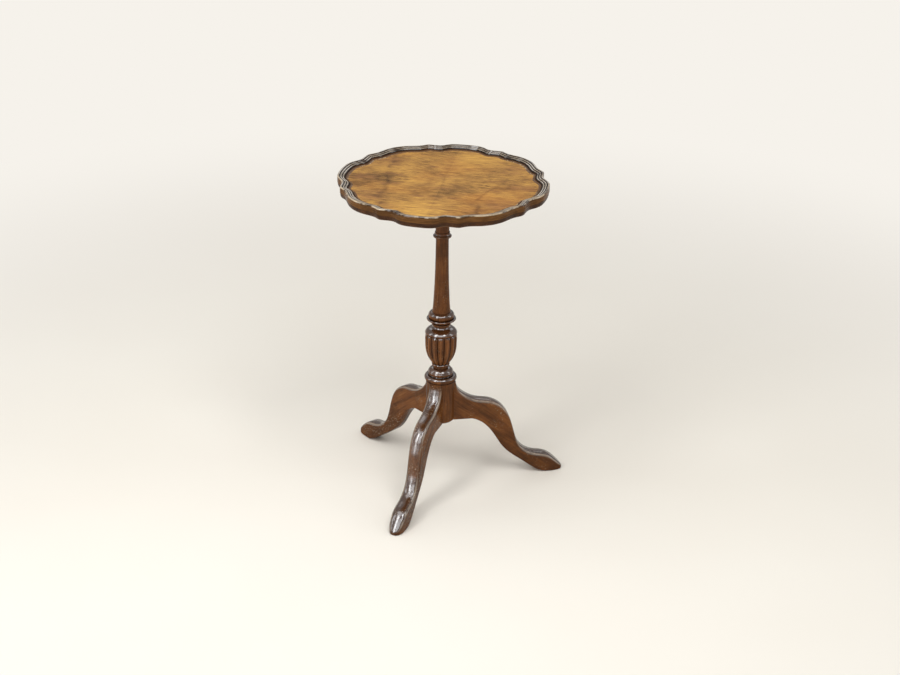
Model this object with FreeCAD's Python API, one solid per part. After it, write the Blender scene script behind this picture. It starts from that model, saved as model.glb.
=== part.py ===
import FreeCAD, Part
import math
import os

os.makedirs("parts", exist_ok=True)

# Whole table, in millimetres: floor at zero, column on the upright axis
table_height = 518.5
top_mean_width = 314.8
foot_radius = 205.0

# Top: core board, moulded rim and veneer
core_edge_height = 7.8
core_setback = 0.4
core_undercut_width = 2.8
rim_height = 10.2
rim_width = 17.0
rim_rise = 5.5
rim_ledge = 4.0
veneer_thickness = 0.8
leaf_count = 4

# Piecrust edge: turn from the middle of a broad lobe, as a share of its pitch, and reach
# as a share of the mean radius; the other half of each pitch is the mirror image, and the
# hand-sawn lobes crowd a little towards the front and back
broad_lobe_count = 4
broad_lobe_angle = 6.2
lobe_crowding_angle = 3.4
seam_angle = 10.0
sector_turn_shares = (0.0, 0.5, 1.0)
lobe_shares = (
    (0.0, 1.039), (0.055, 1.0385), (0.1, 1.034), (0.139, 1.014), (0.166, 0.994),
    (0.191, 0.985), (0.217, 0.99), (0.25, 1.0065), (0.281, 1.0195), (0.311, 1.008),
    (0.342, 1.0005), (0.378, 1.0065), (0.428, 1.0245), (0.467, 1.033), (0.5, 1.036),
)

# Rim moulding: inset as a share of the rim width, height as a share of the rise above the field
rim_bead_shares = (
    ((0.0, 0.65), (0.03, 0.885), (0.103, 1.0), (0.188, 0.935), (0.242, 0.70)),
    ((0.242, 0.70), (0.279, 0.80), (0.339, 0.835), (0.412, 0.735), (0.461, 0.515)),
    ((0.461, 0.515), (0.497, 0.615), (0.552, 0.635), (0.624, 0.535), (0.667, 0.365)),
    ((0.667, 0.365), (0.709, 0.365)),
    ((0.709, 0.365), (0.764, 0.20), (0.861, 0.065), (1.0, 0.015)),
)
core_edge_shares = ((1.0, 0.0), (0.42, 0.2), (0.1, 0.55), (0.0, 1.0))

# Block under the top
block_radius = 48.0
block_thickness = 18.0
block_round = 6.0
block_screw_circle_radius = 33.0
block_screw_count = 4

# Hub and the rings above it
hub_bottom = 108.0
hub_height = 69.0
hub_radius = 23.5
hub_bevel = 1.2
torus_quirk_height = 1.0
torus_height = 8.8
torus_radius = 26.0
torus_shoulder_radius = 22.4
scotia_height = 2.2
scotia_radius = 18.0
scotia_fillet_radius = 19.8
cup_height = 10.5
cup_radius = 20.6
cup_lip_share = 0.42
cup_foot_share = 0.7
cup_swell_share = 0.72
waist_height = 4.3
waist_radius = 11.8
waist_bead_height = 3.0
waist_bead_share = 0.56
waist_seat_share = 0.535

# Reeded vase: height share, crown and valley as shares of the vase radius
vase_height = 52.0
vase_radius = 25.8
reed_count = 14
reed_angle = 7.0
vase_shares = (
    (0.0, 0.51, 0.445), (0.065, 0.60, 0.525), (0.16, 0.725, 0.64), (0.275, 0.84, 0.748),
    (0.44, 0.937, 0.84), (0.63, 0.985, 0.887), (0.84, 1.0, 0.902), (0.945, 0.982, 0.904),
    (1.0, 0.925, 0.915),
)

# Shoulder, ring and tapered shaft above the vase
shoulder_quirk_height = 1.0
shoulder_quirk_share = 0.885
shoulder_height = 9.2
shoulder_neck_radius = 15.6
shoulder_belly_shares = ((0.12, 0.99), (0.45, 0.945), (0.8, 0.81))
neck_height = 14.2
neck_radius = 13.0
neck_fillet_height = 2.4
neck_fillet_radius = 15.2
neck_fillet_share = 0.415
ring_lip_height = 3.2
ring_lip_radius = 23.4
ring_quirk_radius = 21.6
ring_seat_radius = 19.2
ring_height = 10.6
ring_radius = 20.6
ring_crest_share = 0.4
ring_crown_radius = 16.0
shaft_foot_radius = 14.6
shaft_top_radius = 10.1
shaft_flare_shares = ((0.06, 0.80), (0.2, 0.54), (0.33, 0.37), (0.53, 0.18), (0.76, 0.06), (1.0, 0.0))

# Collar, upper neck and tenon
collar_below_block = 58.8
collar_bead_height = 3.5
collar_radius = 14.6
collar_lip_radius = 13.6
collar_cove_height = 3.6
collar_cove_radius = 11.8
collar_fillet_height = 1.4
upper_neck_radius = 10.8
upper_flare_height = 9.0
upper_flare_radius = 13.4
cove_share = 0.25
tenon_radius = 8.0
tenon_stop_gap = 1.0

# Legs: sawn to shape, with a flared foot and a sliding dovetail into the hub
leg_count = 3
leg_names = ("leg_front", "leg_right", "leg_left")
front_leg_angle = -90.0
foot_width = 24.6
leg_arris_round = 4.6
sole_round = 2.0
leg_top_gap = 0.5
plate_seat_share = 0.125
leg_crown_shares = (
    (0.0, 0.99), (0.04, 0.889), (0.1, 0.835), (0.165, 0.8), (0.238, 0.781), (0.311, 0.768),
    (0.366, 0.7455), (0.413, 0.713), (0.458, 0.661), (0.495, 0.59), (0.523, 0.5), (0.547, 0.409),
    (0.575, 0.327), (0.615, 0.268), (0.675, 0.219), (0.74, 0.194), (0.805, 0.181), (0.86, 0.161),
    (0.91, 0.124), (0.96, 0.074), (1.0, 0.03),
)
leg_under_shares = (
    (0.19, 0.969), (0.246, 0.913), (0.309, 0.807), (0.365, 0.672), (0.413, 0.537),
    (0.469, 0.417), (0.549, 0.302), (0.628, 0.205), (0.7, 0.115), (0.742, 0.067),
    (0.782, 0.031), (0.815, 0.009), (0.843, 0.0),
)
leg_width_shares = (
    (0.05, 0.93), (0.3, 0.93), (0.42, 0.9), (0.52, 0.87), (0.62, 0.89), (0.7, 0.95), (0.78, 0.99),
    (0.86, 1.0), (0.91, 0.97), (0.952, 0.87), (0.984, 0.59),
)
tail_depth = 10.0
tail_width = 14.0
tail_neck_width = 10.0
tail_height_share = 0.86
tail_overlap = 1.0

# Spider plate under the hub
plate_thickness = 2.0
plate_arm_width = 11.0
plate_reach = 41.0
plate_hub_radius = 15.0
plate_screw_circle_radius = 34.0

# Countersunk slotted screws
screw_radius = 1.75
screw_head_radius = 3.5
screw_slot_width = 1.0
screw_slot_depth = 0.9
screw_point_share = 0.25
block_screw_length = 25.0
plate_screw_length = 16.0

# Levels that follow from the sizes above
top_radius = top_mean_width / 2
rim_bottom = table_height - rim_height
core_bottom = rim_bottom - core_edge_height
field_top = table_height - rim_rise
core_top = field_top - veneer_thickness
block_bottom = core_bottom - block_thickness
least_reach_share = min(reach for turn, reach in lobe_shares)
core_step_radius = top_radius * least_reach_share - rim_width - rim_ledge
hub_top = hub_bottom + hub_height
vase_bottom = (hub_top + torus_quirk_height + torus_height + scotia_height + cup_height
               + waist_height + waist_bead_height)
vase_top = vase_bottom + vase_height
plate_bottom = hub_bottom - plate_thickness

up = FreeCAD.Vector(0, 0, 1)
full_turn = 360.0
half_share = 0.5
round_share = 1 - math.sqrt(half_share)


def polar(radius, angle, height):
    """Point at a radius and an angle in degrees round the column."""
    turn = math.radians(angle)
    return FreeCAD.Vector(radius * math.cos(turn), radius * math.sin(turn), height)


def middle(low, high):
    """Level half-way between two levels."""
    return (low + high) / 2


def between(start, end, share):
    """Value part of the way from start to end."""
    return start + (end - start) * share


def smooth(points, closed=False):
    """Smooth edge through a run of points."""
    curve = Part.BSplineCurve()
    curve.interpolate(Points=points, PeriodicFlag=closed)
    return curve.toShape()


def outline(moves):
    """Edges of a turned outline. One stop draws a line, two an arc, more a smooth curve."""
    edges = []
    here = None
    for move in moves:
        stops = [FreeCAD.Vector(radius, 0, height) for radius, height in move]
        if here is None:
            here = stops[-1]
            continue
        if len(stops) == 1:
            edges.append(Part.makeLine(here, stops[0]))
        elif len(stops) == 2:
            edges.append(Part.Arc(here, stops[0], stops[1]).toShape())
        else:
            edges.append(smooth([here] + stops))
        here = stops[-1]
    return edges


def turned(moves):
    """Solid turned about the upright axis from an outline that begins on the axis."""
    wire = Part.Wire(outline(moves + [moves[0]]))
    return Part.Face(wire).revolve(FreeCAD.Vector(), up, full_turn)


def disc(radius, bottom, height):
    """Plain round disc on the axis."""
    return Part.makeCylinder(radius, height, FreeCAD.Vector(0, 0, bottom))


def spun(shape, angle):
    """Copy of a shape turned round the column."""
    copy = shape.copy()
    copy.rotate(FreeCAD.Vector(), up, angle)
    return copy


def lobed_ring(inset, height):
    """Closed piecrust line, set in from the edge, at a height."""
    half = lobe_shares[1:]
    mirror = [(-turn, reach) for turn, reach in reversed(half[:-1])]
    pitch = full_turn / broad_lobe_count
    points = []
    for lobe in range(broad_lobe_count):
        for turn, reach in mirror + list(lobe_shares):
            away = (lobe + turn) * pitch
            crowding = lobe_crowding_angle * math.sin(math.radians(away * 2))
            angle = broad_lobe_angle + away + crowding
            points.append(polar(top_radius * reach - inset, angle, height))
    return Part.Wire(smooth(points, closed=True))


def round_ring(radius, height):
    """Closed circle round the column."""
    return Part.Wire(Part.makeCircle(radius, FreeCAD.Vector(0, 0, height)))


def strip(rings):
    """Skin through a run of rings."""
    return Part.makeLoft(rings, False, len(rings) == 2).Faces


def closed_solid(faces):
    """Solid from faces that close on each other."""
    shell = Part.makeShell(faces)
    shell.sewShape()
    solid = Part.Solid(shell)
    solid.fix(0, 0, 0)
    return solid


def core_board():
    """Board under the field, with a lobed edge and a round rebate for the rim."""
    edge = [lobed_ring(core_setback + core_undercut_width * inset, core_bottom + core_edge_height * rise)
            for inset, rise in core_edge_shares]
    step_low = round_ring(core_step_radius, rim_bottom)
    step_high = round_ring(core_step_radius, core_top)
    faces = strip(edge)
    faces += strip([step_low, step_high])
    faces.append(Part.Face(edge[0]))
    faces.append(Part.Face([edge[-1], step_low]))
    faces.append(Part.Face(step_high))
    board = closed_solid(faces)
    return board.cut(Part.Compound(block_screw_blanks()))


def rim_moulding():
    """Piecrust moulding seated in the rebate of the core board."""
    foot = lobed_ring(0, rim_bottom)
    ledge = lobed_ring(rim_width, core_top)
    step_low = round_ring(core_step_radius, rim_bottom)
    step_high = round_ring(core_step_radius, core_top)
    runs = [[lobed_ring(rim_width * inset, field_top + rim_rise * rise) for inset, rise in run]
            for run in rim_bead_shares]
    faces = strip([foot, runs[0][0]])
    for run in runs:
        faces += strip(run)
    faces += strip([runs[-1][-1], ledge])
    faces += strip([step_high, step_low])
    faces.append(Part.Face([ledge, step_high]))
    faces.append(Part.Face([foot, step_low]))
    return closed_solid(faces)


def veneer_leaf(number):
    """One quarter of the matched veneer, trimmed to the foot of the rim."""
    field = Part.Face(lobed_ring(rim_width, core_top)).extrude(up * veneer_thickness)
    pitch = full_turn / leaf_count
    seam = seam_angle + number * pitch
    centre = FreeCAD.Vector(0, 0, core_top)
    outside = [polar(top_radius * 2, seam + pitch * turn, core_top) for turn in sector_turn_shares]
    sector = Part.Face(Part.makePolygon([centre] + outside + [centre]))
    return field.common(sector.extrude(up * veneer_thickness))


def screw_blank(length):
    """Countersunk screw before its slot is cut, head down, standing on its head."""
    head_height = screw_head_radius - screw_radius
    return turned([
        [(0, 0)],
        [(screw_head_radius, 0)],
        [(screw_radius, head_height)],
        [(screw_radius, between(length, head_height, screw_point_share))],
        [(0, length)],
    ])


def slotted(blank):
    """Screw with a straight slot across its head."""
    slot = Part.makeBox(screw_head_radius * 2, screw_slot_width, screw_slot_depth,
                        FreeCAD.Vector(-screw_head_radius, -screw_slot_width / 2, 0))
    return blank.cut(slot)


def placed(shapes, spots):
    """One copy of the shape at each spot."""
    copies = []
    for spot in spots:
        copy = shapes.copy()
        copy.translate(spot)
        copies.append(copy)
    return copies


def block_screw_spots():
    """Screw positions on the underside of the block."""
    pitch = full_turn / block_screw_count
    return [polar(block_screw_circle_radius, (number + half_share) * pitch, block_bottom)
            for number in range(block_screw_count)]


def block_screw_blanks():
    """Space taken by the block screws."""
    return placed(screw_blank(block_screw_length), block_screw_spots())


def leg_angle(number):
    """Direction of a leg round the column."""
    return front_leg_angle + number * full_turn / leg_count


def plate_screw_spots():
    """Screw positions under the spider plate: one in the hub and one in each leg."""
    spots = [FreeCAD.Vector(0, 0, plate_bottom)]
    spots += [polar(plate_screw_circle_radius, leg_angle(number), plate_bottom)
              for number in range(leg_count)]
    return spots


def plate_screw_blanks():
    """Space taken by the plate screws."""
    return placed(screw_blank(plate_screw_length), plate_screw_spots())


def top_block():
    """Round block that carries the top on the tenon of the column."""
    block = turned([
        [(0, block_bottom)],
        [(block_radius - block_round, block_bottom)],
        [(block_radius - block_round * round_share, block_bottom + block_round * round_share),
         (block_radius, block_bottom + block_round)],
        [(block_radius, core_bottom)],
        [(0, core_bottom)],
    ])
    block = block.cut(disc(tenon_radius, block_bottom, block_thickness))
    return block.cut(Part.Compound(block_screw_blanks()))


def base_turning():
    """Hub, torus and cup ring, up to the foot of the vase."""
    torus_bottom = hub_top + torus_quirk_height
    torus_top = torus_bottom + torus_height
    cup_bottom = torus_top + scotia_height
    cup_lip = cup_bottom + cup_height * cup_lip_share
    cup_top = cup_bottom + cup_height
    waist_top = cup_top + waist_height
    cup_foot_radius = between(scotia_radius, cup_radius, cup_foot_share)
    return turned([
        [(0, hub_bottom)],
        [(hub_radius - hub_bevel, hub_bottom)],
        [(hub_radius, hub_bottom + hub_bevel)],
        [(hub_radius, hub_top)],
        [(torus_shoulder_radius, hub_top)],
        [(torus_shoulder_radius, torus_bottom)],
        [(torus_radius, middle(torus_bottom, torus_top)), (torus_shoulder_radius, torus_top)],
        [(scotia_fillet_radius, torus_top)],
        [(scotia_radius, middle(torus_top, cup_bottom)), (cup_foot_radius, cup_bottom)],
        [(cup_radius, middle(cup_bottom, cup_lip)), (cup_foot_radius, cup_lip)],
        [(between(waist_radius, cup_radius, cup_swell_share), middle(cup_lip, cup_top)),
         (waist_radius, cup_top)],
        [(waist_radius, waist_top)],
        [(vase_radius * waist_bead_share, middle(waist_top, vase_bottom)),
         (vase_radius * waist_seat_share, vase_bottom)],
        [(0, vase_bottom)],
    ])


def reeded_vase():
    """Vase carved with upright reeds whose tops are rounded over."""
    pitch = full_turn / reed_count
    sections = []
    for rise, crown, valley in vase_shares:
        height = vase_bottom + vase_height * rise
        arcs = []
        for reed in range(reed_count):
            middle_angle = reed_angle + reed * pitch
            low = polar(vase_radius * valley, middle_angle - pitch * half_share, height)
            high = polar(vase_radius * crown, middle_angle, height)
            end = polar(vase_radius * valley, middle_angle + pitch * half_share, height)
            arcs.append(Part.Arc(low, high, end).toShape())
        sections.append(Part.Wire(arcs))
    return Part.makeLoft(sections, True, False)


def upper_turning():
    """Shoulder of the vase, ring, tapered shaft, collar and the tenon at the top."""
    shoulder_bottom = vase_top + shoulder_quirk_height
    shoulder_top = shoulder_bottom + shoulder_height
    ring_bottom = shoulder_top + neck_height
    fillet_bottom = between(shoulder_top, ring_bottom, neck_fillet_share)
    fillet_top = fillet_bottom + neck_fillet_height
    cove_bottom = middle(fillet_top, ring_bottom)
    lip_top = ring_bottom + ring_lip_height
    shaft_bottom = lip_top + ring_height
    shaft_top = block_bottom - collar_below_block
    bead_top = shaft_top + collar_bead_height
    cove_top = bead_top + collar_cove_height
    collar_top = cove_top + collar_fillet_height
    flare_bottom = block_bottom - upper_flare_height
    belly = [(vase_radius * reach, shoulder_bottom + shoulder_height * rise)
             for rise, reach in shoulder_belly_shares]
    flare = [(between(shaft_top_radius, shaft_foot_radius, swell), between(shaft_bottom, shaft_top, rise))
             for rise, swell in shaft_flare_shares]
    return turned([
        [(0, vase_top)],
        [(vase_radius * shoulder_quirk_share, vase_top)],
        [(vase_radius * shoulder_quirk_share, shoulder_bottom)],
        belly + [(shoulder_neck_radius, shoulder_top)],
        [(neck_radius, middle(shoulder_top, fillet_bottom)), (neck_radius, fillet_bottom)],
        [(neck_fillet_radius, fillet_bottom)],
        [(neck_fillet_radius, fillet_top)],
        [(neck_radius, fillet_top)],
        [(neck_radius, cove_bottom)],
        [(between(neck_radius, ring_quirk_radius, round_share),
          between(ring_bottom, cove_bottom, round_share)),
         (ring_quirk_radius, ring_bottom)],
        [(ring_lip_radius, middle(ring_bottom, lip_top)), (ring_quirk_radius, lip_top)],
        [(ring_seat_radius, lip_top)],
        [(ring_radius, between(lip_top, shaft_bottom, ring_crest_share)),
         (ring_crown_radius, shaft_bottom)],
        [(shaft_foot_radius, shaft_bottom)],
        flare,
        [(collar_lip_radius, shaft_top)],
        [(collar_radius, middle(shaft_top, bead_top)), (collar_lip_radius, bead_top)],
        [(between(collar_cove_radius, collar_lip_radius, cove_share), middle(bead_top, cove_top)),
         (collar_cove_radius, cove_top)],
        [(collar_cove_radius, collar_top)],
        [(upper_neck_radius, collar_top)],
        [(upper_neck_radius, flare_bottom)],
        [(between(upper_neck_radius, upper_flare_radius, cove_share), middle(flare_bottom, block_bottom)),
         (upper_flare_radius, block_bottom)],
        [(tenon_radius, block_bottom)],
        [(tenon_radius, core_bottom - tenon_stop_gap)],
        [(0, core_bottom - tenon_stop_gap)],
    ])


def leg_tail(number):
    """Dovetail of a leg, from the underside of the hub up to its stop."""
    inner = hub_radius - tail_depth
    outer = hub_radius + tail_overlap
    outer_half = between(tail_width, tail_neck_width, (outer - inner) / tail_depth) / 2
    corners = [
        FreeCAD.Vector(inner, -tail_width / 2, hub_bottom),
        FreeCAD.Vector(outer, -outer_half, hub_bottom),
        FreeCAD.Vector(outer, outer_half, hub_bottom),
        FreeCAD.Vector(inner, tail_width / 2, hub_bottom),
    ]
    tail = Part.Face(Part.makePolygon(corners + corners[:1])).extrude(up * hub_height * tail_height_share)
    return spun(tail, leg_angle(number))


def column():
    """Turned column with a reeded vase, dovetail sockets in the hub and a tenon on top."""
    post = base_turning().fuse([reeded_vase(), upper_turning()])
    sockets = [leg_tail(number) for number in range(leg_count)]
    return post.cut(Part.Compound(sockets + plate_screw_blanks()))


def sawn_leg():
    """Leg blank sawn in profile and in plan, with rounded upper arrises, pointing along X."""
    span = foot_radius - hub_radius
    leg_top = hub_top - leg_top_gap
    root = hub_radius / 2
    crown = [FreeCAD.Vector(hub_radius + span * along, 0, leg_top * rise)
             for along, rise in leg_crown_shares]
    under = [FreeCAD.Vector(hub_radius + span * plate_seat_share, 0, hub_bottom)]
    under += [FreeCAD.Vector(hub_radius + span * along, 0, hub_bottom * rise)
              for along, rise in leg_under_shares]
    tip = FreeCAD.Vector(foot_radius, 0, 0)
    root_top = FreeCAD.Vector(root, 0, crown[0].z)
    root_low = FreeCAD.Vector(root, 0, hub_bottom)
    crown_edge = smooth(crown)
    profile = Part.Wire([
        Part.makeLine(root_top, crown[0]), crown_edge, Part.makeLine(crown[-1], tip),
        Part.makeLine(tip, under[-1]), smooth(under), Part.makeLine(under[0], root_low),
        Part.makeLine(root_low, root_top)])
    blank = Part.Face(profile).extrude(FreeCAD.Vector(0, foot_width * 2, 0))
    blank.translate(FreeCAD.Vector(0, -foot_width, 0))
    side = [(foot_radius * along, foot_width * share / 2) for along, share in leg_width_shares]
    near = [FreeCAD.Vector(reach, -half, 0) for reach, half in side]
    far = [FreeCAD.Vector(reach, half, 0) for reach, half in reversed(side)]
    plan = Part.Wire([smooth(near + [tip] + far), Part.makeLine(far[-1], near[0])])
    leg = blank.common(Part.Face(plan).extrude(up * table_height))
    knee = Part.Vertex(crown_edge.valueAt(middle(crown_edge.FirstParameter, crown_edge.LastParameter)))
    top_face = min(leg.Faces, key=lambda face: face.distToShape(knee)[0])
    arrises = [edge for edge in top_face.Edges if edge.BoundBox.XLength > span * half_share]
    leg = leg.makeFillet(leg_arris_round, arrises)
    sole = min(leg.Faces, key=lambda face: face.CenterOfMass.z)
    return leg.makeFillet(sole_round, sole.Edges)


def leg(number):
    """Cabriole leg, coped to the round hub and tailed into its socket."""
    body = spun(sawn_leg(), leg_angle(number)).cut(disc(hub_radius, hub_bottom, hub_height))
    body = body.fuse(leg_tail(number))
    return body.cut(Part.Compound(plate_screw_blanks()))


def spider_plate():
    """Three-armed iron plate that keeps the dovetails up."""
    arm = Part.makeBox(plate_reach - plate_arm_width / 2, plate_arm_width, plate_thickness,
                       FreeCAD.Vector(0, -plate_arm_width / 2, plate_bottom))
    end = Part.makeCylinder(plate_arm_width / 2, plate_thickness,
                            FreeCAD.Vector(plate_reach - plate_arm_width / 2, 0, plate_bottom))
    arm = arm.fuse(end)
    arms = [spun(arm, leg_angle(number)) for number in range(leg_count)]
    plate = disc(plate_hub_radius, plate_bottom, plate_thickness).fuse(arms).removeSplitter()
    return plate.cut(Part.Compound(plate_screw_blanks()))


def save(shape, node):
    """Write one piece to its own file."""
    shape.exportStep("parts/" + node + ".step")


save(core_board(), "core_board")
save(rim_moulding(), "rim_moulding")
for leaf in range(leaf_count):
    save(veneer_leaf(leaf), "veneer_leaf_" + str(leaf + 1))
save(top_block(), "top_block")
save(Part.Compound(placed(slotted(screw_blank(block_screw_length)), block_screw_spots())), "block_screws")
save(column(), "column")
for number, name in enumerate(leg_names):
    save(leg(number), name)
save(spider_plate(), "spider_plate")
save(Part.Compound(placed(slotted(screw_blank(plate_screw_length)), plate_screw_spots())), "plate_screws")
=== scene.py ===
import math

import bpy
from mathutils import Matrix, Vector


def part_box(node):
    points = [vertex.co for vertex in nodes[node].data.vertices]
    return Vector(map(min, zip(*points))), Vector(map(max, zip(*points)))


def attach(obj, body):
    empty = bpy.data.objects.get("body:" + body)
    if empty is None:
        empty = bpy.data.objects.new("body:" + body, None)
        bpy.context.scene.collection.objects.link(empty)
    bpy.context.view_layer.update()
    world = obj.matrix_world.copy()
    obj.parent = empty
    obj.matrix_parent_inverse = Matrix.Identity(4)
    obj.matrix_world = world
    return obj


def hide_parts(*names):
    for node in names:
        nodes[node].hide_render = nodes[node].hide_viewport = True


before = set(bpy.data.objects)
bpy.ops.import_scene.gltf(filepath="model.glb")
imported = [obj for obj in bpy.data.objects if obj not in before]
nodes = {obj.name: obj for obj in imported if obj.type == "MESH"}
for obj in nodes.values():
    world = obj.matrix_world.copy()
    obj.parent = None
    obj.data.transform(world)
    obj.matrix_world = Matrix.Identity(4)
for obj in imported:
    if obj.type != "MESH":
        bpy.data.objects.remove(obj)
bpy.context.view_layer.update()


# Core board: the round board under the field, glued up from plain hardwood and sawn to the
# piecrust outline. Its moulded edge is stained dark and shows as the lower band of the rim.
# The underside was only brushed with thin stain and never polished.
class Outlet:
    """One outlet of a node. Python's own signs add the Math nodes of an expression."""

    def __init__(self, tree, socket=None):
        self.tree = tree
        self.socket = socket

    def node(self, kind, settings=None, inlets=None, outlet=0):
        """Add a node, set it up, feed its inlets, and give back one of its outlets."""
        made = self.tree.nodes.new(kind)
        for name, setting in (settings or {}).items():
            if name == "stops":
                stops = made.color_ramp.elements
                while len(stops) < len(setting):
                    stops.new(1.0)
                for stop, (place, colour) in zip(stops, setting):
                    stop.position = place
                    stop.color = colour
            elif name == "captured":
                for item, form in setting:
                    made.capture_items.new(form, item)
            else:
                setattr(made, name, setting)
        for name, feed in (inlets or {}).items():
            if isinstance(feed, Outlet):
                self.tree.links.new(feed.socket, made.inputs[name])
            else:
                made.inputs[name].default_value = feed
        return Outlet(self.tree, made.outputs[outlet] if made.outputs else None)

    def other(self, outlet):
        """Another outlet of the same node."""
        return Outlet(self.tree, self.socket.node.outputs[outlet])

    def math(self, operation, *rest):
        feeds = dict(enumerate((self,) + rest))
        return self.node("ShaderNodeMath", {"operation": operation}, feeds)

    def __add__(self, other):
        return self.math("ADD", other)

    def __mul__(self, other):
        return self.math("MULTIPLY", other)

    def __sub__(self, other):
        return self.math("SUBTRACT", other)

    def __rsub__(self, other):
        return self.node("ShaderNodeMath", {"operation": "SUBTRACT"}, {0: other, 1: self})

    __radd__ = __add__
    __rmul__ = __mul__

    def step(self, low, high):
        """Soft step from 0 at low to 1 at high; low may be the larger."""
        return self.node("ShaderNodeMapRange", {"interpolation_type": "SMOOTHSTEP"},
                         {"Value": self, "From Min": low, "From Max": high})

    def scaled(self, x, y, z):
        return self.node("ShaderNodeVectorMath", {"operation": "MULTIPLY"}, {0: self, 1: (x, y, z)})

    def turned(self, axis, angle):
        return self.node("ShaderNodeVectorRotate", {"rotation_type": axis},
                         {"Vector": self, "Angle": angle})

    def noise(self, scale, detail=2.0, roughness=0.5, distortion=0.0):
        return self.node("ShaderNodeTexNoise", {},
                         {"Vector": self, "Scale": scale, "Detail": detail,
                          "Roughness": roughness, "Distortion": distortion})

    def ramp(self, *stops):
        return self.node("ShaderNodeValToRGB", {"stops": stops}, {0: self})

    def over(self, below, above):
        """Colour below where this mask is 0 and above where it is 1."""
        return self.node("ShaderNodeMix", {"data_type": "RGBA"}, {0: self, 6: below, 7: above}, 2)

    def darkened(self, mask):
        """This colour times a value between 0 and 1."""
        grey = self.node("ShaderNodeCombineColor", {}, {0: mask, 1: mask, 2: mask})
        return self.node("ShaderNodeMix", {"data_type": "RGBA", "blend_type": "MULTIPLY"},
                         {0: 1.0, 6: self, 7: grey}, 2)

    def part(self, axis):
        """X, Y or Z of a vector, asked for as 0, 1 or 2."""
        return self.node("ShaderNodeSeparateXYZ", {}, {0: self}, axis)

    def plus(self, other):
        return self.node("ShaderNodeVectorMath", {"operation": "ADD"}, {0: self, 1: other})

    def length(self):
        return self.node("ShaderNodeVectorMath", {"operation": "LENGTH"}, {0: self}, "Value")

    def bump(self, depth):
        return self.node("ShaderNodeBump", {}, {"Height": self, "Distance": depth}, "Normal")


def seen_as(red, green, blue):
    """Colour as a screen shows it, 0 to 255, made ready for a shader."""
    shares = [level / 255 for level in (red, green, blue)]
    return tuple(((s + 0.055) / 1.055) ** 2.4 if s > 0.04045 else s / 12.92 for s in shares) + (1.0,)


def new_finish(name):
    """An empty finish and the start of its nodes."""
    finish = bpy.data.materials.new(name)
    finish.use_nodes = True
    finish.node_tree.nodes.clear()
    return finish, Outlet(finish.node_tree)


def lacquer(start, **sockets):
    """One shader; the names of its sockets have underscores for spaces."""
    named = {name.replace("_", " "): feed for name, feed in sockets.items()}
    return start.node("ShaderNodeBsdfPrincipled", {}, named)


def laid_on(start, shader):
    """End a finish in a shader."""
    start.node("ShaderNodeOutputMaterial", {}, {"Surface": shader})


def coated(start, **sockets):
    """End a finish in one plain shader."""
    laid_on(start, lacquer(start, **sockets))


def crevice_shade(start, reach):
    """1 deep in a quirk or groove of the piece itself, 0 in the open; the finishes darken their colour by it
    as painted shade.
    """
    open_share = start.node("ShaderNodeAmbientOcclusion", {"samples": 8, "only_local": True},
                            {"Distance": reach}, "AO")
    return open_share.step(0.85, 0.25)


def upward(start):
    """1 on faces that look up, where dusting and rubbing keep the polish bright, 0 on upright ones."""
    return start.node("ShaderNodeNewGeometry", outlet="Normal").part(2).step(0.12, 0.6)


def board_wood(name, grain_turn, edge_level):
    """Stained plain hardwood: dark and polished above edge_level, thin dull stain below it."""
    finish, start = new_finish(name)
    place = start.node("ShaderNodeTexCoord", outlet="Object")
    lie = place.turned("Z_AXIS", -grain_turn)
    height = place.part(2)
    bands = lie.scaled(1, 9, 9).noise(14, 3, 0.55, 0.6)
    fibre = lie.scaled(1, 26, 26).noise(40, 4, 0.6)
    pores = lie.scaled(1, 18, 18).noise(150, 2).step(0.6, 0.74)
    tone = bands * 0.6 + fibre * 0.4
    edge = tone.ramp((0.28, seen_as(34, 18, 8)), (0.5, seen_as(62, 36, 17)), (0.74, seen_as(94, 57, 28)))
    under = tone.ramp((0.3, seen_as(92, 60, 36)), (0.5, seen_as(132, 92, 58)), (0.72, seen_as(160, 118, 78)))
    stains = place.noise(22, 3, 0.6).step(0.52, 0.72)
    under = (stains * 0.45).over(under, seen_as(74, 47, 28))
    polished = height.step(edge_level - 0.0002, edge_level + 0.0006)
    colour = polished.over(under, edge).darkened(1 - pores * 0.45)
    # Painted shade in the quirks and hollows of the piece.
    colour = colour.darkened(1 - crevice_shade(start, 0.004) * 0.55)
    rough = 0.62 - polished * 0.3 + fibre * 0.12
    relief = (fibre * 0.5 - pores * 0.8).bump(0.00025)
    coated(start, Base_Color=colour, Roughness=rough, Specular_IOR_Level=0.07,
           Coat_Weight=polished * 0.15, Coat_Roughness=0.12, Normal=relief)
    return finish


board_grain = math.radians(19.6)
bare_margin = 0.0006
core_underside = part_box("core_board")[0].z
nodes["core_board"].data.materials[0] = board_wood("board_stain", board_grain, core_underside + bare_margin)


# Rim moulding: a shaped hardwood moulding that runs round the field in broad and narrow lobes,
# with three beads stepping down to a small cove. It is stained nearly black and polished, and
# handling has worn the outer arris through to pale wood.
rim_reach = 0.1574
rim_width = 0.017
rim_rise = 0.0055
rim_steps = 900
rim_unevenness = 0.00025
rim_unevenness_scale = 55.0
rim_weld = 0.000002
rim_sharp_angle = math.radians(38)
rim_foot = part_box("rim_moulding")[0].z
field_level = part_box("veneer_leaf_1")[1].z
ledge_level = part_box("veneer_leaf_1")[0].z
broad_lobes = 4
lobe_start = math.radians(6.2)
lobe_crowding = math.radians(3.4)
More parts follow.
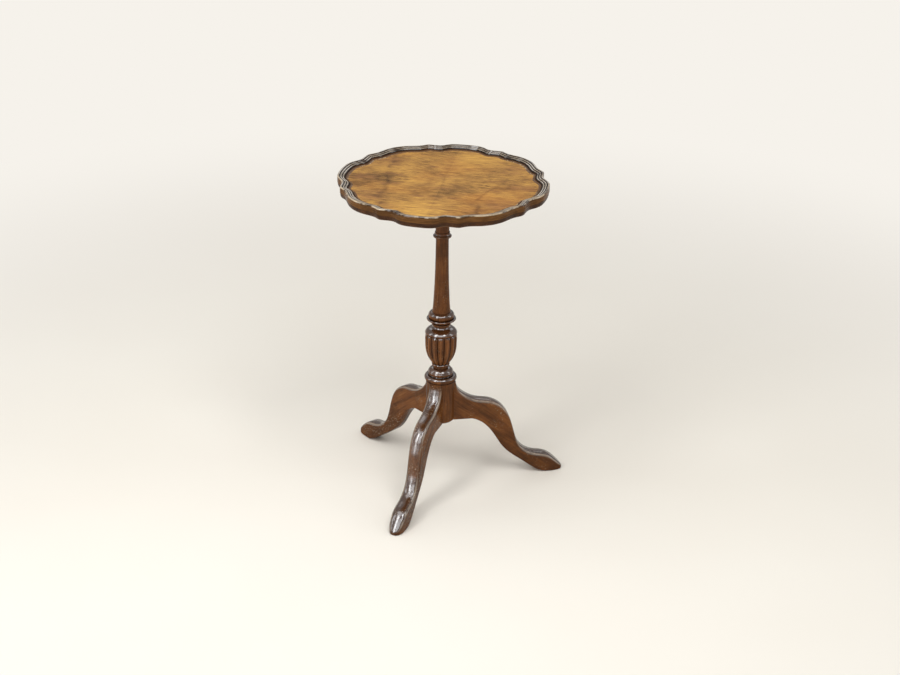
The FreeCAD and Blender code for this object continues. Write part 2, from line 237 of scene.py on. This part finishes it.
# Each pair is a share of a broad lobe's pitch and a share of the rim's reach.
lobe_shares = (
    (0.0, 1.039), (0.055, 1.0385), (0.1, 1.034), (0.139, 1.014), (0.166, 0.994),
    (0.191, 0.985), (0.217, 0.99), (0.25, 1.0065), (0.281, 1.0195), (0.311, 1.008),
    (0.342, 1.0005), (0.378, 1.0065), (0.428, 1.0245), (0.467, 1.033), (0.5, 1.036),
)
# Each pair is a share of the rim's width, in from its edge, and a share of its rise.
bead_shares = (
    ((0.0, 0.65), (0.03, 0.885), (0.103, 1.0), (0.188, 0.925), (0.242, 0.62)),
    ((0.242, 0.62), (0.279, 0.79), (0.339, 0.845), (0.412, 0.72), (0.461, 0.43)),
    ((0.461, 0.43), (0.497, 0.60), (0.552, 0.645), (0.624, 0.52), (0.667, 0.28)),
    ((0.667, 0.28), (0.709, 0.36)),
    ((0.709, 0.36), (0.764, 0.20), (0.861, 0.065), (1.0, 0.015)),
)


def smooth_curve(name, runs, closed=False, fineness=12):
    """Curve object with one smooth run through each list of points."""
    line = bpy.data.curves.new(name, "CURVE")
    line.dimensions = "3D"
    line.resolution_u = fineness
    for run in runs:
        spline = line.splines.new("BEZIER")
        spline.bezier_points.add(len(run) - 1)
        spline.use_cyclic_u = closed
        for knot, place in zip(spline.bezier_points, run):
            knot.co = place
            knot.handle_left_type = knot.handle_right_type = "AUTO"
    thing = bpy.data.objects.new(name, line)
    bpy.context.scene.collection.objects.link(thing)
    return thing


def lobe_line():
    """Outer line of the piecrust edge at floor level."""
    mirrored = [(-turn, reach) for turn, reach in reversed(lobe_shares[1:-1])]
    pitch = 2 * math.pi / broad_lobes
    line = []
    for lobe in range(broad_lobes):
        for turn, reach in mirrored + list(lobe_shares):
            away = (lobe + turn) * pitch
            angle = lobe_start + away + lobe_crowding * math.sin(away * 2)
            line.append((rim_reach * reach * math.cos(angle), rim_reach * reach * math.sin(angle), 0))
    return line


def rim_section():
    """Runs of the moulding's section: inset from the edge and height."""
    section = [[(rim_width * inset, field_level + rim_rise * rise, 0) for inset, rise in run]
               for run in bead_shares]
    outer_top = section[0][0]
    inner_top = section[-1][-1]
    inner_low = (inner_top[0], ledge_level, 0)
    under_inner = (inner_top[0], rim_foot, 0)
    under_outer = (0, rim_foot, 0)
    return [[under_outer, outer_top]] + section + [
        [inner_top, inner_low], [inner_low, under_inner], [under_inner, under_outer]]


def sweep_tree():
    """Nodes that carry a section round a path, set in from the path towards the middle."""
    tree = bpy.data.node_groups.new("piecrust_sweep", "GeometryNodeTree")
    for name, form in (("Path", "Geometry"), ("Section", "Object"), ("Steps", "Int"),
                       ("Unevenness", "Float"), ("Finish", "Material")):
        tree.interface.new_socket(name, in_out="INPUT", socket_type="NodeSocket" + form)
    tree.interface.new_socket("Moulding", in_out="OUTPUT", socket_type="NodeSocketGeometry")
    start = Outlet(tree)
    given = start.node("NodeGroupInput", outlet="Path")
    path = start.node("GeometryNodeResampleCurve", {}, {"Curve": given, "Count": given.other("Steps")})
    spot = start.node("GeometryNodeInputPosition")
    path = start.node("GeometryNodeCaptureAttribute", {"captured": [("Edge", "VECTOR")]},
                      {0: path, 1: spot})
    edge = path.other(1)
    section = start.node("GeometryNodeObjectInfo", {}, {"Object": given.other("Section")}, "Geometry")
    section = start.node("GeometryNodeCaptureAttribute", {"captured": [("Cut", "VECTOR")]},
                         {0: section, 1: spot})
    cut = section.other(1)
    swept = start.node("GeometryNodeCurveToMesh", {}, {"Curve": path, "Profile Curve": section})
    inset = cut.part(0)
    share = inset.math("DIVIDE", edge.length())
    drawn_in = start.node("ShaderNodeVectorMath", {"operation": "SCALE"}, {0: edge, "Scale": 1 - share})
    rise = start.node("ShaderNodeCombineXYZ", {}, {2: cut.part(1)})
    swept = start.node("GeometryNodeSetPosition", {}, {"Geometry": swept, "Position": drawn_in.plus(rise)})
    swept = start.node("GeometryNodeStoreNamedAttribute", {"data_type": "FLOAT", "domain": "POINT"},
                       {"Geometry": swept, "Name": "inset", "Value": inset})
    swept = start.node("GeometryNodeMergeByDistance", {}, {"Geometry": swept, "Distance": rim_weld})
    hand = spot.noise(rim_unevenness_scale)
    lean = start.node("GeometryNodeInputNormal", outlet="Normal")
    drift = start.node("ShaderNodeVectorMath", {"operation": "SCALE"},
                       {0: lean, "Scale": (hand - 0.5) * given.other("Unevenness")})
    swept = start.node("GeometryNodeSetPosition", {}, {"Geometry": swept, "Offset": drift})
    swept = start.node("GeometryNodeRealizeInstances", {}, {"Geometry": swept})
    swept = start.node("GeometryNodeSetMaterial", {}, {"Geometry": swept, "Material": given.other("Finish")})
    start.node("NodeGroupOutput", {}, {"Moulding": swept})
    return tree


def grown(name, holder, tree, inputs):
    """Plain mesh object made by a node tree from a holder object, which is then removed."""
    growth = holder.modifiers.new("growth", "NODES")
    growth.node_group = tree
    for socket in tree.interface.items_tree:
        if socket.in_out == "INPUT" and socket.name in inputs:
            growth[socket.identifier] = inputs[socket.name]
    evaluated = holder.evaluated_get(bpy.context.evaluated_depsgraph_get())
    mesh = bpy.data.meshes.new_from_object(evaluated)
    mesh.name = name
    bpy.data.objects.remove(holder)
    piece = bpy.data.objects.new(name, mesh)
    bpy.context.scene.collection.objects.link(piece)
    return piece


def bead_highlights_and_groove_shade(colour, inset, rubbing):
    """Paint a pale highlight on the crest of each bead where the rubbing noise allows it, and paint shade
    into the groove beside it.
    """
    for run in bead_shares[:3]:
        crest = max(run, key=lambda spot: spot[1])[0] * rim_width
        # Painted highlight along the crest of the bead.
        ridge = (inset - crest).math("ABSOLUTE").step(0.0015, 0.0003) * rubbing.step(0.3, 0.52)
        colour = (ridge * 0.85).over(colour, seen_as(168, 152, 130))
        # Painted shade in the groove beside the bead.
        groove = (inset - run[-1][0] * rim_width).math("ABSOLUTE").step(0.001, 0.0002)
        colour = colour.darkened(1 - groove * 0.85)
    return colour


def rim_polish():
    """Near-black polish over dark stain, with painted highlights on the bead crests, painted shade in the
    grooves and quirks, a worn outer arris and chips.
    """
    finish, start = new_finish("rim_polish")
    place = start.node("ShaderNodeTexCoord", outlet="Object")
    height = place.part(2)
    inset = start.node("ShaderNodeAttribute", {"attribute_name": "inset"}, outlet="Fac")
    across = start.node("ShaderNodeCombineXYZ", {}, {2: inset * 14 + height * 16})
    fibre = place.plus(across).noise(48, 3, 0.55)
    bands = place.noise(16, 3, 0.6)
    tone = fibre * 0.5 + bands * 0.5
    top = tone.ramp((0.3, seen_as(24, 13, 7)), (0.52, seen_as(46, 27, 14)), (0.72, seen_as(78, 48, 27)))
    wall = tone.ramp((0.3, seen_as(56, 34, 15)), (0.5, seen_as(92, 60, 29)), (0.72, seen_as(126, 86, 45)))
    outside = inset.step(0.0003, 0.0)
    # Rubbing noise: it places the worn outer arris and breaks up the painted highlights on the bead crests.
    rubbing = place.noise(38, 3, 0.65)
    # Painted highlights on the bead crests and painted shade in their grooves.
    colour = bead_highlights_and_groove_shade(outside.over(top, wall), inset, rubbing)
    hollow = inset.step(rim_width * 0.74, rim_width * 0.86)
    colour = (hollow * 0.65).over(colour, seen_as(108, 76, 46))
    # Painted shade in the quirks and the cove.
    colour = colour.darkened(1 - crevice_shade(start, 0.003) * 0.45)
    arris = (inset - 0.0004).math("ABSOLUTE").step(0.0011, 0.0002) * height.step(
        field_level + rim_rise * 0.6, field_level + rim_rise * 0.8)
    rubbed = rubbing.step(0.44, 0.6) * arris
    chips = place.noise(420, 2, 0.7).step(0.62, 0.7) * place.noise(24, 2).step(0.54, 0.68)
    frayed = inset.step(rim_width * 0.86, rim_width * 0.97) * place.noise(330, 2, 0.7).step(0.5, 0.6)
    colour = (frayed * place.noise(13, 2).step(0.52, 0.64) * 0.75).over(colour, seen_as(204, 182, 146))
    colour = (rubbed * 0.85).over(colour, seen_as(204, 184, 154))
    colour = (chips * 0.55).over(colour, seen_as(160, 132, 98))
    rough = 0.2 + fibre * 0.16 + rubbed * 0.25
    relief = (fibre * 0.4 + place.noise(240, 2) * 0.8 - chips * 0.9).bump(0.00022)
    beaded = inset.step(rim_width * 0.7, rim_width * 0.62)
    coated(start, Base_Color=colour, Roughness=rough, Specular_IOR_Level=0.04,
           Coat_Weight=0.06 + upward(start) * beaded * 0.8, Coat_Roughness=0.12, Coat_IOR=1.9, Normal=relief)
    return finish


rim_path = smooth_curve("rim_path", [lobe_line()], closed=True)
section_line = smooth_curve("rim_section", rim_section(), fineness=8)
rim = grown("piecrust_rim", rim_path, sweep_tree(), {
    "Section": section_line, "Steps": rim_steps, "Unevenness": rim_unevenness, "Finish": rim_polish()})
bpy.data.objects.remove(section_line)
rim.data.set_sharp_from_angle(angle=rim_sharp_angle)
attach(rim, "root")
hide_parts("rim_moulding")


# Veneer leaves: four quarters of figured walnut, cut one after another from the same flitch and
# turned over so that the figure mirrors across both seams. They are glued to the core board
# and rubbed to a soft shine.
seam_turn = math.radians(10.0)
figure_turn = math.radians(-5)
slice_step = 0.0012
leaf_tones = {"veneer_leaf_1": 0.02, "veneer_leaf_2": -0.02, "veneer_leaf_3": 0.02, "veneer_leaf_4": -0.03}
# A heart line's place to the right, its lean, how far back the lean starts, and how far back the line ends.
heart_lines = ((-0.098, 0.085, -0.15, 0.11), (0.0485, 0.55, -0.08, -0.01))
# A cloud's place to the right and back, its reach, and how much it lifts the tone.
clouds = (
    (-0.045, -0.118, 0.06, 0.12), (-0.043, 0.017, 0.045, 0.1), (0.052, 0.108, 0.05, 0.12),
    (-0.062, 0.125, 0.04, 0.1), (-0.1, -0.048, 0.045, -0.08), (-0.03, -0.056, 0.035, -0.07),
    (0.095, -0.05, 0.05, 0.07), (-0.071, 0.074, 0.035, 0.1), (-0.11, 0.01, 0.055, -0.16),
)


def hearted(tone, place, spread, drift, streak):
    """Darken the tone along the heart lines and, like smoke, beside them."""
    right = spread.part(0)
    back = spread.part(1)
    for foot, lean, bend, end in heart_lines:
        line = foot + (back - bend).math("MAXIMUM", 0.0) * lean
        offset = right - line - drift * 0.04 - streak * 0.014
        heart = offset.math("ABSOLUTE").step(0.005, 0.0005) * place.noise(27, 3, 0.6).step(0.3, 0.62)
        smoke = offset.step(0.026, 0.0) * offset.step(-0.012, 0.0)
        tone = tone - (heart * 0.11 + smoke * 0.05) * back.step(end + 0.05, end)
    return tone


def clouded(tone, spread, drift, streak):
    """Lift or lower the tone in soft clouds, each wider than it is deep."""
    for x, y, reach, lift in clouds:
        apart = spread.plus((-x, -y, 0)).scaled(0.75, 1.25, 0).length()
        tone = tone + (apart + drift * 0.03 + streak * 0.02).step(reach, reach * 0.2) * lift
    return tone


def figured_veneer(name, slice_depth, tone_shift):
    """Golden walnut: fine streaks mirrored about the seams, dark heart lines, light and dark clouds."""
    finish, start = new_finish(name)
    place = start.node("ShaderNodeTexCoord", outlet="Object")
    square = place.turned("Z_AXIS", -seam_turn)
    folded = start.node("ShaderNodeVectorMath", {"operation": "ABSOLUTE"}, {0: square})
    lie = folded.turned("Z_AXIS", figure_turn)
    beside = lie.part(1) + lie.noise(18, 2, 0.5) * 0.016
    flow = start.node("ShaderNodeCombineXYZ", {}, {0: lie.part(0), 1: beside, 2: slice_depth})
    streak = flow.scaled(1, 17, 1).noise(44, 5, 0.68) - 0.5
    broad = flow.scaled(1, 6, 1).noise(17, 3, 0.5) - 0.5
    fine = flow.scaled(1, 34, 1).noise(95, 3, 0.6)
    thread = flow.scaled(1, 12, 1).noise(75, 3, 0.6) - 0.5
    cloud = place.noise(19, 4, 0.62, 0.4) - 0.5
    drift = place.noise(16, 2, 0.5) - 0.5
    spread = place.turned("Z_AXIS", -board_grain)
    tone = 0.515 + streak * 0.9 + thread * 0.9 + broad * 0.45 + cloud * 0.42 + tone_shift
    tone = hearted(tone, place, spread, drift, streak)
    tone = clouded(tone, spread, drift, streak)
    colour = tone.ramp((0.2, seen_as(68, 48, 29)), (0.38, seen_as(120, 87, 50)), (0.5, seen_as(156, 114, 62)),
                       (0.62, seen_as(182, 136, 71)), (0.82, seen_as(210, 162, 80)))
    pores = fine.step(0.6, 0.76)
    colour = colour.darkened(1 - pores * 0.3)
    warm = place.noise(11, 2).step(0.5, 0.75)
    colour = (warm * 0.25).over(colour, seen_as(176, 104, 40))
    russet = flow.scaled(1, 3, 1).noise(13, 4, 0.62, 0.3).step(0.48, 0.66)
    colour = (russet * 0.35).over(colour, seen_as(146, 98, 66))
    joint = folded.part(0).math("MINIMUM", folded.part(1)).step(0.0005, 0.0001)
    colour = colour.darkened(1 - joint * 0.1)
    scratches = place.turned("Z_AXIS", 0.6).scaled(1, 60, 1).noise(18, 2, 0.5).step(0.7, 0.74)
    rough = 0.42 + streak * 0.12 + scratches * 0.15
    relief = (fine * 0.5 - pores * 0.6 - joint * 0.8).bump(0.00012)
    coated(start, Base_Color=colour, Roughness=rough, Specular_IOR_Level=0.03, Normal=relief)
    return finish


for count, (leaf, shift) in enumerate(leaf_tones.items()):
    nodes[leaf].data.materials[0] = figured_veneer(leaf + "_figure", count * slice_step, shift)


# Top block: a turned block glued and screwed under the core board, with a bored hole for the
# tenon of the column. It is plain hardwood under thin stain, like the underside of the board.
above_table = 1.0
nodes["top_block"].data.materials[0] = board_wood("block_stain", board_grain + math.pi / 2, above_table)


# Block screws: four countersunk slotted steel screws up through the block into the board.
# The heads have dulled and gone brown in their slots.
def dull_metal(name, clean, tarnished, tarnish_share):
    """Bare metal with tarnish creeping over it."""
    finish, start = new_finish(name)
    place = start.node("ShaderNodeTexCoord", outlet="Object")
    creep = place.noise(260, 4, 0.65)
    pits = place.noise(1500, 2)
    tarnish = creep.step(0.62 - tarnish_share * 0.4, 0.78 - tarnish_share * 0.4)
    colour = tarnish.over(clean, tarnished).darkened(1 - pits.step(0.55, 0.75) * 0.4)
    rough = 0.34 + tarnish * 0.35 + pits * 0.12
    coated(start, Base_Color=colour, Roughness=rough, Metallic=1 - tarnish * 0.75,
           Normal=(pits * 0.5 + tarnish * 0.5).bump(0.0001))
    return finish


screw_steel = dull_metal("screw_steel_worn", seen_as(150, 144, 134), seen_as(92, 62, 40), 0.45)
nodes["block_screws"].data.materials[0] = screw_steel


# Column: one length of hardwood turned between centres. It has a plain hub for the legs, rings, a vase
# carved with reeds, a tapered shaft and a collar, and is stained dark red-brown and polished.
def reed_shade_and_highlight(colour, place, reeds):
    """Paint shade into the grooves between the carved reeds and a pale line along their crowns, a painted
    highlight that also stands for rubbing.
    """
    count, turn, foot, head = reeds
    height = place.part(2)
    swell = ((place.part(1).math("ARCTAN2", place.part(0)) - turn) * count).math("COSINE")
    carved = height.step(foot, foot + 0.003) * height.step(head + 0.0015, head - 0.0015)
    # Painted shade in the grooves between the reeds.
    colour = colour.darkened(1 - swell.step(-0.5, -0.98) * carved * 0.5)
    # Pale line along the reed crowns: a painted highlight that also stands for rubbing.
    return (swell.step(0.7, 1.0) * carved * 0.25).over(colour, seen_as(164, 108, 62))


def arris_highlight_and_wear(start, place, plan_turn, top):
    """1 along the rounded upper arrises beside a plan direction, broken up by noise; it places a pale line
    that is a painted highlight and also wear.
    """
    facing = start.node("ShaderNodeNewGeometry", outlet="Normal").turned("Z_AXIS", -plan_turn)
    sideways = facing.part(1).math("ABSOLUTE")
    arris = sideways.step(0.25, 0.5) * sideways.step(0.94, 0.74) * top
    return arris * place.noise(45, 3, 0.6).step(0.3, 0.55)


def two_polishes(start, top, **sockets):
    """End a finish in dull polish on upright faces and bright polish on those that look up."""
    dull = lacquer(start, Specular_IOR_Level=0.05, Coat_Weight=top, Coat_Roughness=0.16, Coat_IOR=2.0,
                   **sockets)
    bright = lacquer(start, IOR=2.3, **sockets)
    laid_on(start, start.node("ShaderNodeMixShader", {}, {0: 0.06 + top * 0.94, 1: dull, 2: bright}))


def polished_wood(name, plan_turn, slope, wear, arris_sheen_and_wear, skin_depth, reeds=None, crown_radius=None):
    """Dark red-brown stained wood under old polish. The grain runs along a line in a plan direction."""
    finish, start = new_finish(name)
    place = start.node("ShaderNodeTexCoord", outlet="Object")
    straight = place.turned("Z_AXIS", -plan_turn)
    lie = straight.turned("Y_AXIS", slope)
    bands = lie.scaled(8, 8, 1).noise(9, 3, 0.55, 0.4)
    fibre = lie.scaled(28, 28, 1).noise(30, 5, 0.62)
    pores = lie.scaled(20, 20, 1).noise(110, 2).step(0.58, 0.72)
    tone = bands * 0.55 + fibre * 0.45
    colour = tone.ramp((0.28, seen_as(46, 23, 10)), (0.5, seen_as(99, 58, 26)), (0.72, seen_as(138, 86, 42)))
    colour = colour.darkened(1 - pores * 0.4)
    # Darker in random mottles, and darker towards the bottom, below 0.1 m.
    mottle_and_low_darkening = place.noise(30, 5, 0.66).step(0.44, 0.68) * 0.45 + place.part(2).step(0.1, 0.02) * 0.3
    colour = colour.darkened(1 - mottle_and_low_darkening)
    if reeds:
        colour = reed_shade_and_highlight(colour, place, reeds)
    top = upward(start)
    # Painted dark reflection: faces that look up are given a darker colour, as the polished tops show between
    # their highlights.
    colour = (top * 0.55).over(colour, seen_as(42, 25, 15))
    rubbed = place.noise(30, 4, 0.65).step(0.54, 0.72) * wear
    colour = (rubbed * 0.3).over(colour, seen_as(150, 98, 52))
    flecks = place.noise(520, 2, 0.7).step(0.61, 0.68) * place.noise(26, 3).step(0.46, 0.6) * wear
    colour = (flecks * 0.5).over(colour, seen_as(206, 190, 164))
    # Pale line on the upper arrises: a painted highlight that also stands for wear.
    arris = arris_highlight_and_wear(start, place, plan_turn, top)
    colour = (arris * arris_sheen_and_wear).over(colour, seen_as(196, 176, 150))
    # Painted shade in the quirks, grooves and joins of the turned rings and reeds.
    colour = colour.darkened(1 - crevice_shade(start, 0.006) * 0.8)
    rough = 0.1 + fibre * 0.1 + rubbed * 0.1 + flecks * 0.2
    skin = place.noise(230, 3, 0.6)
    rise = skin * 0.9 + fibre * 0.3 - pores * 0.3 - flecks * 0.4
    if crown_radius:
        across = straight.part(1)
        rise = rise - across * across * (0.5 / crown_radius / skin_depth)
    two_polishes(start, top, Base_Color=colour, Roughness=rough, Normal=rise.bump(skin_depth))
    return finish


# How many reeds, the turn of the first, and the heights of their feet and heads.
vase_reeds = (14, math.radians(7.0), 0.2068, 0.2588)
nodes["column"].data.materials[0] = polished_wood(
    "column_polish", plan_turn=0.0, slope=0.0, wear=0.35, arris_sheen_and_wear=0.0, skin_depth=0.00006,
    reeds=vase_reeds)


# Legs: three cabriole legs sawn from plank with the grain running down towards the foot, each held in
# the hub by a sliding dovetail. Their upper arrises are rounded by hand and their tops slightly crowned.
# Feet and knees are rubbed and flecked.
grain_fall = math.radians(37.5)
leg_turns = {"leg_front": -90.0, "leg_right": 30.0, "leg_left": 150.0}
for leg, turn in leg_turns.items():
    nodes[leg].data.materials[0] = polished_wood(
        leg + "_polish", plan_turn=math.radians(turn), slope=-math.pi / 2 - grain_fall,
        wear=1.0, arris_sheen_and_wear=0.4, skin_depth=0.00012, crown_radius=0.022)


# Spider plate: a three-armed plate of thin iron under the hub that keeps the dovetails up, held by
# one screw in the hub and one in each leg. It is dark with rust.
nodes["spider_plate"].data.materials[0] = dull_metal(
    "plate_iron_rusted", seen_as(72, 68, 64), seen_as(84, 50, 32), 0.6)
nodes["plate_screws"].data.materials[0] = screw_steel


# Floor: a wide plain pale ground for the table to stand on. It takes the table's shadow, and further off
# it fades to an even pale tone.
def pale_ground():
    """Pale paint that takes light and shadow near the table and shows an even tone further off."""
    finish, start = new_finish("pale_ground")
    place = start.node("ShaderNodeTexCoord", outlet="Object")
    cast = place.noise(1.3, 3, 0.5)
    colour = cast.ramp((0.3, seen_as(236, 229, 217)), (0.7, seen_as(240, 234, 223)))
    lit = lacquer(start, Base_Color=colour, Roughness=0.75, Specular_IOR_Level=0.2)
    ray = start.node("ShaderNodeLightPath", outlet="Is Camera Ray")
    shown = ray.math("MAXIMUM", ray.other("Is Glossy Ray")).math("MAXIMUM", ray.other("Is Transmission Ray"))
    pale = start.node("ShaderNodeEmission", {}, {"Color": seen_as(246, 242, 235), "Strength": 1.0})
    fade = shown * place.length().step(0.45, 1.8)
    laid_on(start, start.node("ShaderNodeMixShader", {}, {0: fade, 1: lit, 2: pale}))
    return finish


floor_reach = 40.0
floor_sides = 96
ground = bpy.data.meshes.new("floor")
floor_edge = [(floor_reach * math.cos(2 * math.pi * k / floor_sides),
               floor_reach * math.sin(2 * math.pi * k / floor_sides), 0) for k in range(floor_sides)]
ground.from_pydata(floor_edge, [], [list(range(floor_sides))])
ground.materials.append(pale_ground())
floor = bpy.data.objects.new("floor", ground)
bpy.context.scene.collection.objects.link(floor)


# Studio light: two tall soft boxes high at the left and right of the camera, a low one at the left, a strip
# at each side, broad panels in front, overhead and behind, and an even pale surround.
view_turn = math.radians(19.6)
light_aim = Vector((0, 0, 0.28))
lamp_tint = (0.96, 0.98, 1.0)
surround_level = 0.36
surround_seen_lift = 0.6


def soft_box(name, azimuth, elevation, distance, width, height, power):
    """Area light aimed at the middle of the table; azimuth is measured from the camera's side."""
    turn = view_turn + math.radians(azimuth)
    lift = math.radians(elevation)
    away = Vector((math.sin(turn) * math.cos(lift), -math.cos(turn) * math.cos(lift), math.sin(lift)))
    lamp = bpy.data.lights.new(name, "AREA")
    lamp.shape = "RECTANGLE"
    lamp.size = width
    lamp.size_y = height
    lamp.energy = power
    lamp.color = lamp_tint
    thing = bpy.data.objects.new(name, lamp)
    facing = away.to_track_quat("Z", "Y").to_matrix().to_4x4()
    thing.matrix_world = Matrix.Translation(light_aim + away * distance) @ facing
    thing.visible_camera = False
    bpy.context.scene.collection.objects.link(thing)


soft_box("left_box", -45, 47, 2.3, 0.5, 1.5, 17)
soft_box("right_box", 32, 58, 2.3, 0.45, 1.1, 14)
soft_box("low_left_box", -40, 13, 2.3, 0.5, 1.0, 7)
soft_box("left_strip", -88, 25, 2.0, 0.4, 1.4, 4)
soft_box("right_strip", 85, 25, 2.0, 0.4, 1.4, 4)
soft_box("front_panel", -5, 44, 2.7, 1.7, 1.3, 15)
soft_box("sky_panel", -80, 75, 2.4, 1.4, 1.4, 11)
soft_box("back_panel", 180, 34, 2.6, 2.2, 0.7, 6)

surround = bpy.data.worlds.new("surround")
surround.use_nodes = True
surround.node_tree.nodes.clear()
sky = Outlet(surround.node_tree)
shown = sky.node("ShaderNodeLightPath", outlet="Is Camera Ray")
strength = surround_level + shown * surround_seen_lift
glow = sky.node("ShaderNodeBackground", {}, {"Color": seen_as(250, 249, 247), "Strength": strength})
sky.node("ShaderNodeOutputWorld", {}, {"Surface": glow})
bpy.context.scene.world = surround
bpy.context.scene.view_settings.view_transform = "Standard"


# Camera: a short telephoto view from above and a little to the right of the front leg, from where
# the table was photographed.
camera_place = Vector((0.9293, -2.5675, 1.534))
camera_pitch = 0.439297
camera_roll = 0.0153759
ahead = Vector((-math.sin(view_turn) * math.cos(camera_pitch), math.cos(view_turn) * math.cos(camera_pitch),
                -math.sin(camera_pitch)))
level = Vector((math.cos(view_turn), math.sin(view_turn), 0))
upright = level.cross(ahead)
across = level * math.cos(camera_roll) + upright * math.sin(camera_roll)
overhead = upright * math.cos(camera_roll) - level * math.sin(camera_roll)
lens = bpy.data.cameras.new("camera")
lens.sensor_width = 36.0
lens.lens = 76.0
camera = bpy.data.objects.new("camera", lens)
facing = Matrix((across, overhead, -ahead)).transposed().to_4x4()
camera.matrix_world = Matrix.Translation(camera_place) @ facing
bpy.context.scene.collection.objects.link(camera)
bpy.context.scene.camera = camera


bpy.context.view_layer.update()
